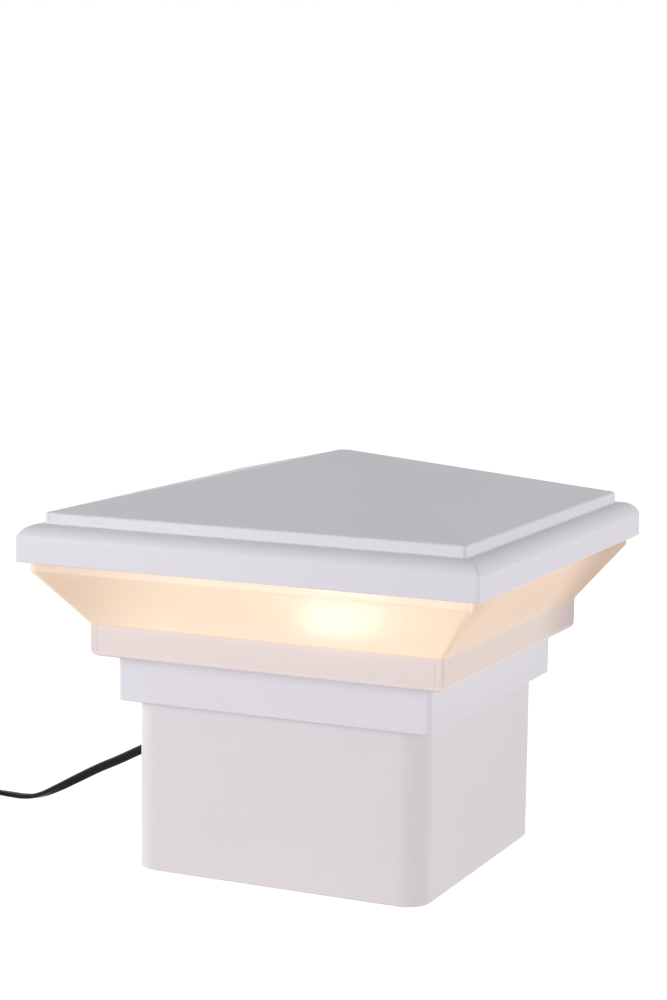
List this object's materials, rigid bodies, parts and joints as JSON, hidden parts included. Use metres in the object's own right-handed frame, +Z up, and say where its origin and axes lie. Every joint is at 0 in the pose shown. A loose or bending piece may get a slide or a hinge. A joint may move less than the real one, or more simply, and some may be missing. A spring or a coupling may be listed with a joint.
{
  "type": "deck post cap light",
  "caption": "Square deck post cap light: hollow pyramid roof, flared frosted lens round a wedge lamp, collar, short post sleeve and coiled low-voltage lead.",
  "frame": {"origin": "centre of the post sleeve's open foot, on the surface that the part stands on", "axes": "+Z up along the sleeve, the lens and the roof; -Y is the front and -X the side where the lead leaves"},
  "size_m": [0.2661, 0.156, 0.1355],
  "materials": {
    "sleeve_vinyl": "smooth extruded vinyl, slightly warm white",
    "cap_white": "smooth moulded white with a soft gloss",
    "lens_frost": "frosted translucent acrylic, lit warm from inside",
    "black_pvc": "glossy black PVC",
    "black_rubber": "matt",
    "foam": "closed cell foam",
    "seal": "soft pale silicone",
    "steel": "zinc plated",
    "spring_steel": "bright",
    "plate": "bright satin",
    "brass": "bright",
    "ceramic": "glazed off-white",
    "bulb_clear": "clear",
    "filament": "glowing"
  },
  "bodies": {
    "post": {"post_sleeve": "sleeve_vinyl", "cable_grommet": "black_rubber", "supply_leads": "black_pvc", "wire_splices": "brass", "lead_free": "black_pvc", "lead_coil": "black_pvc", "coil_tie": "black_rubber", "lead_plug": "black_pvc", "plug_pins": "brass"},
    "head": {"base_collar": "cap_white", "collar_gasket": "foam", "set_screws": "steel", "lens_shade": "lens_frost", "lens_screws": "steel", "lamp_socket": "ceramic", "socket_screws": "steel", "socket_contacts": "brass", "socket_leads": "black_pvc", "deck_reflector": "plate", "deck_plate_screws": "steel"},
    "roof": {"roof_cap": "cap_white", "roof_seal": "seal", "roof_reflector": "plate", "roof_plate_screws": "steel", "roof_clips": "spring_steel", "clip_screws": "steel"},
    "bulb": {"bulb_glass": "bulb_clear", "bulb_filament": "filament", "bulb_contacts": "steel"}
  },
  "joints": [
    {"name": "head_lift", "type": "slide", "parent": "post", "child": "head", "axis": [0, 0, 1], "range_m": [0, 0.03], "deforming": ["socket_leads"]},
    {"name": "roof_lift", "type": "slide", "parent": "head", "child": "roof", "axis": [0, 0, 1], "range_m": [0, 0.045]},
    {"name": "bulb_pull", "type": "slide", "parent": "head", "child": "bulb", "axis": [0, 0, 1], "range_m": [0, 0.012]}
  ]
}
